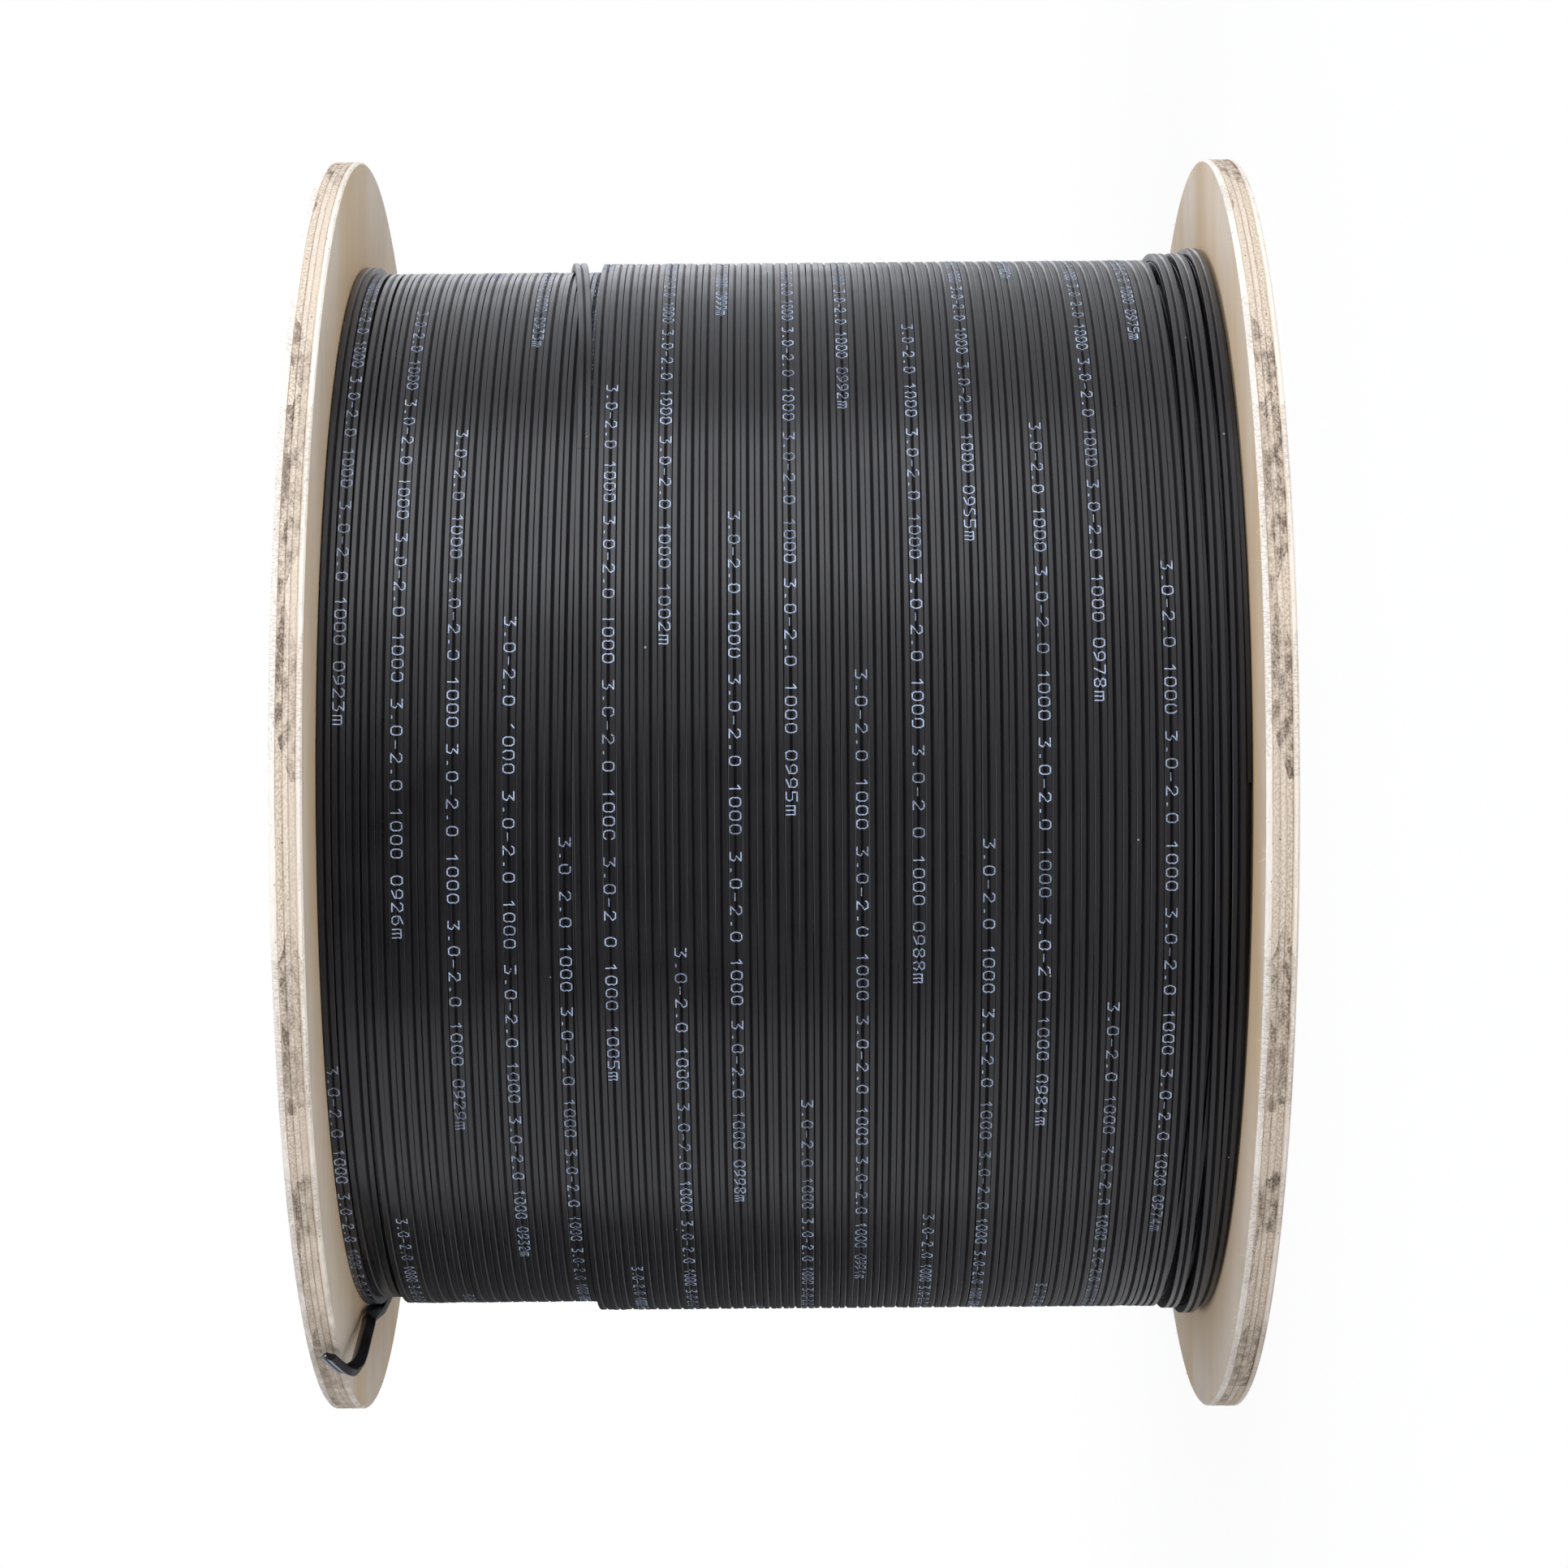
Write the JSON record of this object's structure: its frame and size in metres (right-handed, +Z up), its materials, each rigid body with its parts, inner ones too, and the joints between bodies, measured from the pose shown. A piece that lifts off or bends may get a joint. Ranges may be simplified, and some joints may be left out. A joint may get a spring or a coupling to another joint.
{
  "type": "cable reel",
  "caption": "Round plywood reel wound with flat black drop cable, standing on end, with the cut free end of the cable hooked over the upper rim.",
  "frame": {"origin": "centre of the lower flange's outer face, on the floor that the reel stands on", "axes": "+Z up along the reel's axis; -Y is the side where the cable's free end shows; +X is the side that is up when the reel lies on its rims with the free end at the bottom"},
  "size_m": [0.3, 0.3, 0.2196],
  "materials": {
    "plywood": "raw sanded plywood",
    "cardboard": "plain brown",
    "cable_jacket": "satin black jacket",
    "zinc_steel": "zinc plated"
  },
  "bodies": {
    "root": {"lower_flange": "plywood", "upper_flange": "plywood", "barrel_tube": "cardboard", "cable_coil": "cable_jacket", "cable_end": "cable_jacket", "tie_bolt_1": "zinc_steel", "tie_bolt_2": "zinc_steel", "tie_bolt_3": "zinc_steel", "tie_bolt_4": "zinc_steel", "bolt_washer_1": "zinc_steel", "bolt_washer_2": "zinc_steel", "bolt_washer_3": "zinc_steel", "bolt_washer_4": "zinc_steel", "tee_nut_1": "zinc_steel", "tee_nut_2": "zinc_steel", "tee_nut_3": "zinc_steel", "tee_nut_4": "zinc_steel"}
  },
  "joints": []
}
